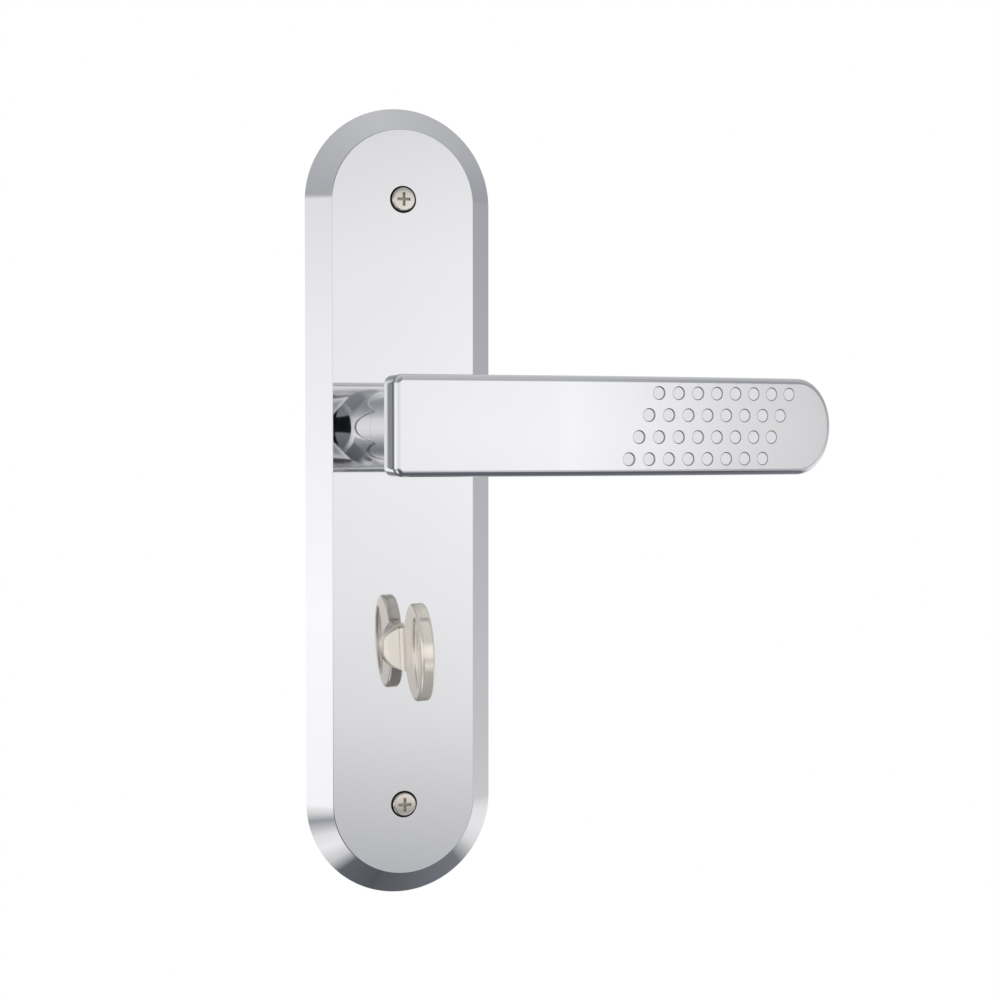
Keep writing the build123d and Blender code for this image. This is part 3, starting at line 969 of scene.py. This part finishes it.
class LOCK_OT_lever_handle(bpy.types.Operator):
    """Models the chromed lever: curved grip with rounded edges and dimples, flared neck and shank"""

    bl_idname = "lock.lever_handle"
    bl_label = "Lever handle"

    def execute(self, context):
        lever = in_millimetres("lock_lever")
        low, high = node_box("lever_handle")
        piece = self.grip(lever, low, high)
        self.dimples(piece, lever, low)
        self.neck(piece, lever, low, high)
        finish_piece(piece, ["lever_handle"], finish_for("chrome"))
        self.mark_shaded_walls(piece, lever, low)
        return {"FINISHED"}

    def front_depth(self, lever, face, x):
        """Depth of the grip's front at a distance along the lever."""
        run = max(0.0, x - lever.straight_front)
        return face + lever.bend_radius - math.sqrt(lever.bend_radius**2 - run**2)

    def back_depth(self, lever, face, tip, x):
        """Depth of the grip's back at a distance along the lever: straight, then an arc to the tip."""
        back = face + lever.thickness
        run = tip - lever.straight_back
        rise = self.front_depth(lever, face, tip) + lever.tip_thickness - back
        radius = (run**2 + rise**2) / (2 * rise)
        along = max(0.0, x - lever.straight_back)
        return back + radius - math.sqrt(radius**2 - along**2)

    def grip(self, lever, low, high):
        """Outline drawn from a circle, extruded, rounded, cut into strips and curved."""
        face, half = low.y, high.z
        sides = 4 * lever.corner_steps
        clear_selection()
        bpy.ops.mesh.primitive_circle_add(
            vertices=sides,
            radius=1,
            location=(0, face, 0),
            rotation=(QUARTER_TURN, math.pi / sides, 0),
        )
        piece = named_primitive("lever_casting")
        edit(piece)
        tip_start = high.x - lever.tip_round
        corner_x = low.x + lever.end_corner
        corner_z = half - lever.end_corner
        corner = (lever.end_corner, 1, lever.end_corner)
        groups = [
            (lambda v: v.co.x > 0, (lever.tip_round, 1, half), (tip_start, 0, 0)),
            (lambda v: v.co.x < 0 and v.co.z > 0, corner, (corner_x, 0, corner_z)),
            (lambda v: v.co.x < 0 and v.co.z < 0, corner, (corner_x, 0, -corner_z)),
        ]
        cage = bmesh.from_edit_mesh(piece.data)
        cage.verts.ensure_lookup_table()
        members = [[v.index for v in cage.verts if test(v)] for test, _, _ in groups]
        for indices, (_, scale, offset) in zip(members, groups):
            choose(piece, "VERT", lambda v: v.index in indices)
            bpy.ops.transform.resize(value=scale, center_override=(0, face, 0))
            bpy.ops.transform.translate(value=offset)
        bpy.ops.mesh.select_all(action="SELECT")
        bpy.ops.mesh.extrude_region_move(TRANSFORM_OT_translate={"value": (0, lever.thickness, 0)})
        close_skin()
        self.round_rims(piece, lever)
        self.cut_strips(piece, lever, high.x)
        middle = face + lever.thickness / 2
        back = face + lever.thickness
        for vertex in piece.data.vertices:
            x, y, _ = vertex.co
            if x < corner_x:
                vertex.co.x = x + (y - face) * math.tan(lever.end_draft)
            if y < middle:
                vertex.co.y = y + self.front_depth(lever, face, x) - face
            else:
                vertex.co.y = y + self.back_depth(lever, face, high.x, x) - back
        return piece

    def cut_strips(self, piece, lever, tip):
        """Cuts the grip across its length into the strips that take the curve."""
        count = math.floor((tip - lever.straight_back) / lever.strip)
        edit(piece)
        for step in range(count):
            bpy.ops.mesh.select_all(action="SELECT")
            x = lever.straight_back + lever.strip * step
            bpy.ops.mesh.bisect(plane_co=(x, 0, 0), plane_no=(1, 0, 0), threshold=WELD)
        bpy.ops.object.mode_set(mode="OBJECT")

    def round_rims(self, piece, lever):
        """Rounds the whole rim of the front and of the back."""
        for sign, size in ((-1, lever.front_round), (1, lever.back_round)):

            def on_rim(edge):
                facing = [face.normal.y * sign > RIM_FACING for face in edge.link_faces]
                return any(facing) and not all(facing)

            round_edges(piece, on_rim, size, RIM_STEPS)

    def dimple_places(self, lever, low):
        """Where the dimples lie on the curved front, row by row."""
        places = []
        for row in range(lever.dimple_rows):
            z = ((lever.dimple_rows - 1) / 2 - row) * lever.dimple_row_pitch
            for column in range(lever.dimple_columns):
                along = lever.dimple_start + (column - row / 2) * lever.dimple_pitch
                turn = (along - lever.straight_front) / lever.bend_radius
                x = lever.straight_front + lever.bend_radius * math.sin(turn)
                places.append(Vector((x, self.front_depth(lever, low.y, x), z)))
        return places

    def mark_shaded_walls(self, piece, lever, low):
        """Marks the faces of the dimples' walls for their painted shade and rougher gloss."""
        places = self.dimple_places(lever, low)
        reach = lever.dimple_mouth + lever.dimple_depth
        mark = piece.data.attributes.new(SHADED_WALL_MARK, "FLOAT", "FACE")
        for polygon in piece.data.polygons:
            middle = polygon.center * PER_METRE
            near = any((middle - place).length < reach for place in places)
            mark.data[polygon.index].value = float(near and polygon.normal.y > -WALL_FACING)

    def dimples(self, piece, lever, low):
        """Slanting rows of flat-bottomed round dishes, all tilted alike to suit the curve's middle."""
        mouth, floor, depth = lever.dimple_mouth, lever.dimple_floor, lever.dimple_depth
        rise = (mouth**2 - floor**2 - depth**2) / (2 * depth)
        ball = math.hypot(mouth, rise)
        first = math.asin(floor / ball)
        last = math.asin(mouth / ball) * DISH_OVERRUN
        turns = [first + (last - first) * step / DISH_STEPS for step in range(DISH_STEPS + 1)]
        stations = [(ball * math.sin(turn), ball * math.cos(turn) - rise) for turn in turns]
        dish = lathe("dimple", stations, HOLE_SIDES)
        dish.data.transform(Matrix.Rotation(lever.dimple_tilt, 4, "Z"))
        cutters = [duplicate(dish, "dimple_cut", place) for place in self.dimple_places(lever, low)]
        bpy.data.meshes.remove(dish.data)
        combine(piece, join(cutters), "DIFFERENCE")

    def neck(self, piece, lever, low, high):
        """Flared neck and hollow shank, with a square socket, flats, a groove and a set screw hole."""
        back = low.y + lever.thickness
        widening = lever.flare - lever.neck
        radius = (widening**2 + lever.flare_length**2) / (2 * widening)
        stations = [(lever.flare, back - lever.thickness / 2)]
        for step in range(ARC_STEPS + 1):
            along = lever.flare_length * (1 - step / ARC_STEPS)
            width = lever.neck + radius - math.sqrt(radius**2 - along**2)
            stations.append((width, back + lever.flare_length - along))
        foot = node_box("face_plate")[0].y - lever.foot_gap
        neck_end = node_box("lever_bush")[0].y - BUSH_GAP
        cup = node_box("lever_bush")[1].x + lever.foot_gap / CUP_FIT
        stations += [(lever.neck, foot), (cup, foot), (cup, neck_end)]
        stations += [(lever.shank, neck_end), (lever.shank, high.y)]
        combine(piece, lathe("neck", stations, FINE_SIDES), "UNION")

        cut_socket(piece, lever.spindle_socket, node_box("lever_spindle")[0].y, high.y)
        flats_start = node_box("lever_wave_washer")[0].y - lever.driver
        for side in (-1, 1):
            x0, x1 = sorted((side * lever.shank_flat, side * 2 * lever.shank))
            flat_low = (x0, flats_start, -lever.shank - CLEAR)
            flat_high = (x1, high.y + CLEAR, lever.shank + CLEAR)
            combine(piece, block("flat", flat_low, flat_high), "DIFFERENCE")
        cut_groove(piece, "lever_circlip", lever.shank, lever.groove)
        grub_y = node_middle("spindle_grub_screw").y
        grub_z = -lever.spindle_socket / 2 - lever.neck + CLEAR
        clear_selection()
        bpy.ops.mesh.primitive_cylinder_add(
            vertices=HOLE_SIDES,
            radius=lever.grub_hole,
            depth=2 * lever.neck,
            location=(0, grub_y, grub_z),
        )
        combine(piece, named_primitive("grub_hole"), "DIFFERENCE")


class LOCK_OT_thumbturn(bpy.types.Operator):
    """Models the nickel thumbturn: oval finger plate with recesses, wedge shaped hub and shank"""

    bl_idname = "lock.thumbturn"
    bl_label = "Thumbturn"

    def execute(self, context):
        thumb = in_millimetres("lock_thumbturn")
        face = node_box("face_plate")[0].y
        tail = node_box("thumbturn")[1].y
        axis = node_middle("thumbturn_washer").z
        piece = self.paddle(thumb, face)
        self.recesses(piece, thumb, face)
        self.hub(piece, thumb, face, tail)
        shift(piece, (0, 0, axis))
        lean = Matrix.Rotation(-thumb.lean, 4, "Y")
        pivot = Matrix.Translation((0, 0, axis))
        piece.data.transform(pivot @ lean @ pivot.inverted())
        finish_piece(piece, ["thumbturn"], finish_for("pearl"))
        return {"FINISHED"}

    def oval(self, name, width, height, thickness, middle_y, sides):
        """Closed oval disc standing across the X direction."""
        clear_selection()
        bpy.ops.mesh.primitive_cylinder_add(
            vertices=sides,
            radius=1,
            depth=thickness,
            rotation=(0, QUARTER_TURN, 0),
            location=(0, middle_y, 0),
        )
        disc = named_primitive(name)
        edit(disc)
        bpy.ops.transform.resize(value=(1, width / 2, height / 2), center_override=(0, middle_y, 0))
        bpy.ops.object.mode_set(mode="OBJECT")
        return disc

    def paddle(self, thumb, face):
        """Oval finger plate with a rounded rim."""
        middle = face - (thumb.reach + thumb.root) / 2
        width = thumb.reach - thumb.root
        piece = self.oval(
            "thumbturn_casting", width, thumb.height, thumb.thickness, middle, FINE_SIDES
        )
        round_edges(piece, is_sharp, thumb.rim, RIM_STEPS)
        return piece

    def recesses(self, piece, thumb, face):
        """Oval finger recess in each side, its mouth a little wider than its floor."""
        middle = face - thumb.recess_reach
        for side in (-1, 1):
            cutter = self.oval(
                "recess", thumb.recess_width, thumb.recess_height, thumb.thickness, middle, ROD_SIDES
            )
            floor = side * (thumb.thickness / 2 - thumb.recess_depth)
            shift(cutter, (floor + side * thumb.thickness / 2, 0, 0))

            def on_floor(vertex):
                return abs(vertex.co.x - floor) < TOUCH

            scale_where(cutter, on_floor, RECESS_FLOOR, center_override=(floor, middle, 0))
            combine(piece, cutter, "DIFFERENCE")
        for level in (thumb.thickness / 2, thumb.thickness / 2 - thumb.recess_depth):

            def on_recess(edge):
                return is_sharp(edge) and all(abs(abs(v.co.x) - level) < TOUCH for v in edge.verts)

            round_edges(piece, on_recess, thumb.recess_edge, RECESS_STEPS)

    def hub(self, piece, thumb, face, tail):
        """Round hub cut to a wedge under the finger plate, and the hollow shank."""
        front = node_box("thumbturn_bush")[0].y - HUB_SEAT
        side = thumb.thickness / 2 - HUB_INSET
        shoulder = front - thumb.hub_lip
        bend_x = side + thumb.blend * (1 - math.cos(thumb.slope))
        bend_y = shoulder - (thumb.hub - thumb.hub_step - bend_x) / math.tan(thumb.slope)
        crown = bend_y - thumb.blend * math.sin(thumb.slope)
        wide = thumb.hub + CLEAR
        half = [(wide, front), (wide, shoulder), (thumb.hub - thumb.hub_step, shoulder)]
        for step in range(ARC_STEPS + 1):
            turn = thumb.slope * (1 - step / ARC_STEPS)
            x = side + thumb.blend * (1 - math.cos(turn))
            half.append((x, crown + thumb.blend * math.sin(turn)))
        outline = half + [(-x, y) for x, y in reversed(half)]
        wedge = prism("wedge", outline, -wide, wide)
        hub = rod("hub", thumb.hub, crown - SINK, front, sides=FINE_SIDES)
        combine(hub, wedge, "INTERSECT")
        combine(piece, hub, "UNION")
        cup = node_box("thumbturn_bush")[1].x + thumb.foot_gap
        foot = face - thumb.foot_gap
        lip = rod("lip", cup + thumb.foot_wall, shoulder, foot, sides=FINE_SIDES)
        combine(lip, rod("cup", cup, front, face + CLEAR, sides=FINE_SIDES), "DIFFERENCE")
        combine(piece, lip, "UNION")
        combine(piece, rod("shank", thumb.shank, front - SINK, tail), "UNION")
        cut_socket(piece, thumb.socket, node_box("thumbturn_spindle")[0].y, tail)
        cut_groove(piece, "thumbturn_circlip", thumb.shank, thumb.groove)


class LOCK_OT_screws(bpy.types.Operator):
    """Models one fixing screw with a cross recess and a thread, and copies it to the other hole"""

    bl_idname = "lock.screws"
    bl_label = "Fixing screws"

    def execute(self, context):
        screw = in_millimetres("lock_screws")
        low, high = node_box("upper_screw")
        piece = self.body(screw, low, high)
        self.cross(piece, screw, low)
        self.thread(piece, screw, high)
        for name in SCREW_NODES:
            copy = duplicate(piece, f"{name}_threaded", (0, 0, node_middle(name).z))
            finish_piece(copy, [name], finish_for("nickel"))
        bpy.data.meshes.remove(piece.data)
        return {"FINISHED"}

    def body(self, screw, low, high):
        """Domed head, plain shank, core and point."""
        top = low.y
        head = (high.x - low.x) / 2
        seat = node_box("face_plate")[0].y + in_millimetres("lock_plate").counterbore_depth
        flat = head - screw.head_edge
        radius = (flat**2 + screw.dome**2) / (2 * screw.dome)
        stations = []
        for step in range(1, HEAD_STEPS + 1):
            width = flat * step / HEAD_STEPS
            stations.append((width, top + radius - math.sqrt(radius**2 - width**2)))
        for step in range(1, HEAD_STEPS + 1):
            turn = QUARTER_TURN * step / HEAD_STEPS
            drop = screw.dome + screw.head_edge * (1 - math.cos(turn))
            stations.append((flat + screw.head_edge * math.sin(turn), top + drop))
        stations += [(head, seat), (screw.shank, seat), (screw.shank, screw.shank_end)]
        stations.append((screw.core, screw.shank_end + SHANK_TAPER))
        stations += [(screw.core, high.y - screw.point), (TIP_RADIUS, high.y)]
        return lathe("screw", stations, screw.sides)

    def cross(self, piece, screw, low):
        """Cross recess whose walls narrow towards the bottom."""
        for turned in (False, True):
            half = (screw.cross_length / 2, screw.cross_width / 2)
            x, z = half[::-1] if turned else half
            blade = block("blade", (-x, low.y - CLEAR, -z), (x, low.y + screw.cross_depth, z))
            scale_where(blade, lambda v: v.co.y > low.y, CROSS_BOTTOM)
            combine(piece, blade, "DIFFERENCE")

    def thread(self, piece, screw, high):
        """Helical ridge on the core, running out over the point."""
        start = screw.shank_end + THREAD_START
        end = high.y - THREAD_END
        turns = (end - start) / screw.thread_pitch
        turn = 2 * math.pi / THREAD_STEPS
        drop = screw.thread_pitch / THREAD_STEPS
        clear_selection()
        bpy.ops.mesh.primitive_circle_add(
            vertices=RIDGE_SIDES, radius=screw.thread, fill_type="NOTHING"
        )
        ridge = named_primitive("ridge")
        edit(ridge)
        bpy.ops.transform.translate(value=(screw.core, start, 0))
        for step in range(math.ceil(turns * THREAD_STEPS)):
            bpy.ops.mesh.extrude_region_move(TRANSFORM_OT_translate={"value": (0, drop, 0)})
            depth = start + drop * (step + 1)
            bpy.ops.transform.rotate(value=turn, orient_axis="Y", center_override=(0, depth, 0))
        close_skin()
        bpy.ops.object.mode_set(mode="OBJECT")
        taper_start = high.y - screw.point
        for vertex in ridge.data.vertices:
            run = max(0.0, vertex.co.y - taper_start) / screw.point
            shrink = 1 - min(run, 1.0) * POINT_SHRINK
            vertex.co.x *= shrink
            vertex.co.z *= shrink
        combine(piece, ridge, "UNION")


class LOCK_OT_hardware(bpy.types.Operator):
    """Smooths and finishes the spindles, bushes, spring, driver, washers, clips and set screw"""

    bl_idname = "lock.hardware"
    bl_label = "Hidden hardware"

    slots = {
        "lever_spindle": "steel",
        "thumbturn_spindle": "steel",
        "spindle_grub_screw": "steel",
        "spring_driver": "steel",
        "lever_wave_washer": "steel",
        "lever_circlip": "spring_steel",
        "return_spring": "spring_steel",
        "thumbturn_circlip": "spring_steel",
        "thumbturn_washer": "steel",
        "lever_bush": "nylon",
        "thumbturn_bush": "nylon",
    }

    def execute(self, context):
        for node, slot in self.slots.items():
            original = frame["nodes"][node]
            piece = original.copy()
            piece.data = original.data.copy()
            piece.name = f"{node}_smooth"
            piece.parent = None
            for key in list(piece.keys()):
                del piece[key]
            bpy.context.collection.objects.link(piece)
            edit(piece)
            bpy.ops.mesh.remove_doubles(threshold=WELD * MM)
            bpy.ops.mesh.select_all(action="SELECT")
            bpy.ops.mesh.dissolve_limited(angle_limit=FLAT_ANGLE)
            bpy.ops.object.mode_set(mode="OBJECT")
            smooth(piece)
            hand_over(piece, [node], finish_for(slot))
        return {"FINISHED"}


# Stage: brightness of the light tent by elevation in degrees, on each side of the object
TENT_LEFT = (
    (-90, 0.095), (-66, 0.13), (-57, 0.62), (-46, 0.89), (-36, 0.80), (-24, 0.33), (-18, 0.70),
    (-11, 0.98), (-5, 1.04), (3, 0.90), (8, 0.76), (12, 0.42), (90, 0.56),
)
TENT_FRONT = (
    (-90, 0.095), (-34, 0.15), (-23, 0.74), (-14, 0.40), (-10, 0.655), (-8, 0.785), (-5, 0.875),
    (0, 0.95), (5, 0.905), (8.3, 0.81), (14, 0.42), (40, 0.48), (90, 0.56),
)
TENT_NEAR_LEFT = (
    (-90, 0.095), (-34, 0.10), (-15, 0.17), (-9, 0.52), (-5, 0.74), (0, 0.80), (6, 0.74),
    (10, 0.50), (16, 0.23), (40, 0.32), (90, 0.56),
)
TENT_RIGHT = (
    (-90, 0.095), (-42, 0.19), (-32, 0.73), (-25, 0.84), (-17, 0.82), (-9, 0.58), (0, 0.46),
    (10, 0.36), (40, 0.47), (90, 0.56),
)
TENT_FAR_LEFT = (
    (-90, 0.095), (-30, 0.10), (-12, 0.18), (0, 0.26), (8, 0.25), (30, 0.18), (60, 0.50),
    (75, 0.56), (90, 0.56),
)
TENT_BEHIND = ((-90, 0.095), (-40, 0.30), (-10, 0.60), (30, 0.62), (90, 0.56))
# Share of the front's brightness by azimuth in degrees, to the right of straight ahead
TENT_TURN = (
    (5, 0.90), (13, 0.95), (21, 1.05), (29, 0.985), (41, 0.825), (51, 0.75), (56, 0.72),
    (65, 0.70), (90, 0.52),
)
# Azimuths in degrees over which one side of the tent gives way to the next
NEAR_LEFT_BLEND = (0, 11)
LEFT_BLEND = (-58, -42)
RIGHT_BLEND = (48, 92)
FAR_LEFT_BLEND = (-115, -93)
BEHIND_RIGHT_BLEND = (115, 150)
BEHIND_LEFT_BLEND = (-179, -167)
# Slopes in degrees over which the azimuth ceases to matter, above and below
STEEP_BLEND = (40, 70)
# Black card to the far left, as azimuths and elevations in degrees
CARD_TURN = (-163, -141)
CARD_RISE = (-5, 12)
CARD_EDGE = 1.5
CARD_DEPTH = 0.97
# How fast the tent's cast goes from its dark to its bright one, and the fineness of its mesh
CAST_GAIN = 1.6
TENT_SEGMENTS = 64
TENT_RINGS = 32
# Where the soft lamps stand and how wide they are, in metres
LAMPS = {"left_lamp": (-1.6, -1.2, 0.1), "right_lamp": (1.0, -1.7, 0.1)}
LAMP_SIZE = 1.5
# Strength of the white backdrop as a light; it shows at full strength
BACKDROP_FILL = 0.6
SENSOR_WIDTH = 36
CLIP_START = 0.01


class LOCK_OT_stage(bpy.types.Operator):
    """Sets the camera, a pale floor and a soft light tent whose walls the metal mirrors"""

    bl_idname = "lock.stage"
    bl_label = "Camera, floor and light"

    def execute(self, context):
        stage = context.scene.lock_stage
        self.camera(stage)
        self.floor(stage)
        self.tent(stage)
        self.lamps(stage)
        self.backdrop()
        context.scene.view_settings.view_transform = "Standard"
        return {"FINISHED"}

    def camera(self, stage):
        """Camera at the photograph's viewing angle."""
        lens = bpy.data.cameras.new("camera")
        lens.sensor_width = SENSOR_WIDTH
        lens.lens = stage.lens
        lens.clip_start = CLIP_START
        camera = bpy.data.objects.new("camera", lens)
        bpy.context.collection.objects.link(camera)
        upright = Matrix.Rotation(QUARTER_TURN - stage.camera_pitch, 4, "X")
        turn = Matrix.Rotation(-stage.camera_yaw, 4, "Z")
        camera.matrix_world = Matrix.Translation(stage.camera_place) @ turn @ upright
        bpy.context.scene.camera = camera

    def floor(self, stage):
        """Plain pale floor below the plate."""
        clear_selection()
        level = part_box("face_plate")[0].z - stage.floor_drop
        bpy.ops.mesh.primitive_plane_add(size=stage.floor_size, location=(0, 0, level))
        floor = named_primitive("floor")
        material, paint = new_material("pale_floor")
        matt = paint.node("ShaderNodeBsdfDiffuse", {}, {"Color": (*stage.floor_colour, 1)})["BSDF"]
        glow = paint.node("ShaderNodeEmission", {}, {"Color": WHITE, "Strength": 1.0})["Emission"]
        seen = paint.node("ShaderNodeLightPath")["Is Camera Ray"] * stage.floor_glow
        mixed = paint.node("ShaderNodeMixShader", {}, {0: seen, 1: matt, 2: glow})["Shader"]
        paint.node("ShaderNodeOutputMaterial", {}, {"Surface": mixed})
        floor.data.materials.append(material)
        floor.visible_glossy = False

    def tent(self, stage):
        """Large round tent that lights the object and shows in the metal, but not to the camera."""
        clear_selection()
        bpy.ops.mesh.primitive_uv_sphere_add(
            segments=TENT_SEGMENTS, ring_count=TENT_RINGS, radius=stage.tent_radius
        )
        tent = named_primitive("light_tent")
        material, paint = new_material("tent_cloth")
        place = paint.node("ShaderNodeTexCoord")["Object"]
        way = paint.node("ShaderNodeVectorMath", {"operation": "NORMALIZE"}, {0: place})["Vector"]
        parts = paint.node("ShaderNodeSeparateXYZ", {}, {0: way})
        degrees = 180 / math.pi
        rise = paint.maths("ARCSINE", parts["Z"]) * degrees
        turn = paint.maths("ARCTAN2", parts["X"], -parts["Y"]) * degrees

        def band(value, stops):
            """Brightness over -90 to 90 degrees."""
            places = [((place + 90) / 180, grey) for place, grey in stops]
            return paint.ramp((value + 90) / 180, places)

        def past(value, start, end):
            """0 before a start, 1 after an end and smooth between."""
            limits = {"Value": value, "From Min": start, "From Max": end}
            settings = {"interpolation_type": "SMOOTHSTEP"}
            return paint.node("ShaderNodeMapRange", settings, limits)["Result"]

        def before(value, start, end):
            """1 before a start, 0 after an end and smooth between."""
            return 1 - past(value, start, end)

        def within(value, start, end):
            """1 between two limits, with the card's soft edge outside them."""
            return past(value, start - CARD_EDGE, start) * before(value, end, end + CARD_EDGE)

        def give_way(light, weight, stops):
            """A light that gives way to another side's by a weight."""
            return light + weight * (band(rise, stops) - light)

        level = before(paint.maths("ABSOLUTE", rise), *STEEP_BLEND)
        light = band(rise, TENT_FRONT) * (1 + (band(turn, TENT_TURN) - 1) * level)
        light = give_way(light, before(turn, *NEAR_LEFT_BLEND), TENT_NEAR_LEFT)
        light = give_way(light, before(turn, *LEFT_BLEND), TENT_LEFT)
        light = give_way(light, past(turn, *RIGHT_BLEND), TENT_RIGHT)
        light = give_way(light, before(turn, *FAR_LEFT_BLEND), TENT_FAR_LEFT)
        behind = past(turn, *BEHIND_RIGHT_BLEND) + before(turn, *BEHIND_LEFT_BLEND)
        light = give_way(light, behind, TENT_BEHIND)
        light = light * (1 - CARD_DEPTH * within(turn, *CARD_TURN) * within(rise, *CARD_RISE))
        cast = paint.between(light * CAST_GAIN, stage.shade, stage.bright)
        scaled = {0: cast, "Scale": light}
        colour = paint.node("ShaderNodeVectorMath", {"operation": "SCALE"}, scaled)["Vector"]
        glow = paint.node("ShaderNodeEmission", {}, {"Color": colour, "Strength": 1.0})["Emission"]
        paint.node("ShaderNodeOutputMaterial", {}, {"Surface": glow})
        tent.data.materials.append(material)
        tent.visible_camera = False

    def lamps(self, stage):
        """Soft lamps that lift the matt parts to a plain level and don't show in the mirrors."""
        for name, place in LAMPS.items():
            light = bpy.data.lights.new(name, "AREA")
            light.size = LAMP_SIZE
            light.energy = stage.lamp_power
            lamp = bpy.data.objects.new(name, light)
            lamp.location = place
            lamp.rotation_euler = (-Vector(place)).to_track_quat("-Z", "Y").to_euler()
            lamp.visible_glossy = False
            bpy.context.collection.objects.link(lamp)

    def backdrop(self):
        """White behind the object, for the camera and for what the metal mirrors past the tent."""
        world = bpy.data.worlds.new("white_backdrop")
        world.use_nodes = True
        paint = Paint(world.node_tree)
        rays = paint.node("ShaderNodeLightPath")
        shown = rays["Is Camera Ray"] + rays["Is Glossy Ray"] + rays["Is Transmission Ray"]
        strength = BACKDROP_FILL + (1 - BACKDROP_FILL) * shown
        white = paint.node("ShaderNodeBackground", {}, {"Color": WHITE, "Strength": strength})
        paint.node("ShaderNodeOutputWorld", {}, {"Surface": white["Background"]})
        bpy.context.scene.world = world


class LOCK_PT_panel(bpy.types.Panel):
    """Lists the lock's pieces and the stage"""

    bl_label = "Door lock"
    bl_idname = "LOCK_PT_panel"
    bl_space_type = "VIEW_3D"
    bl_region_type = "UI"
    bl_category = "Door lock"

    def draw(self, context):
        for operator in OPERATORS:
            self.layout.operator(operator.bl_idname)


OPERATORS = (
    LOCK_OT_face_plate,
    LOCK_OT_lever_handle,
    LOCK_OT_thumbturn,
    LOCK_OT_screws,
    LOCK_OT_hardware,
    LOCK_OT_stage,
)
CLASSES = (*SETTINGS.values(), *OPERATORS, LOCK_PT_panel)


def register():
    """Registers the classes and hangs the settings on the scene."""
    for cls in CLASSES:
        bpy.utils.register_class(cls)
    for name, group in SETTINGS.items():
        setattr(bpy.types.Scene, name, PointerProperty(type=group))


def unregister():
    """Takes the settings and the classes away again."""
    for name in SETTINGS:
        delattr(bpy.types.Scene, name)
    for cls in reversed(CLASSES):
        bpy.utils.unregister_class(cls)


def main():
    """Builds every piece and the stage."""
    register()
    bpy.ops.lock.face_plate()
    bpy.ops.lock.lever_handle()
    bpy.ops.lock.thumbturn()
    bpy.ops.lock.screws()
    bpy.ops.lock.hardware()
    bpy.ops.lock.stage()
    clear_selection()


if __name__ == "__main__":
    main()
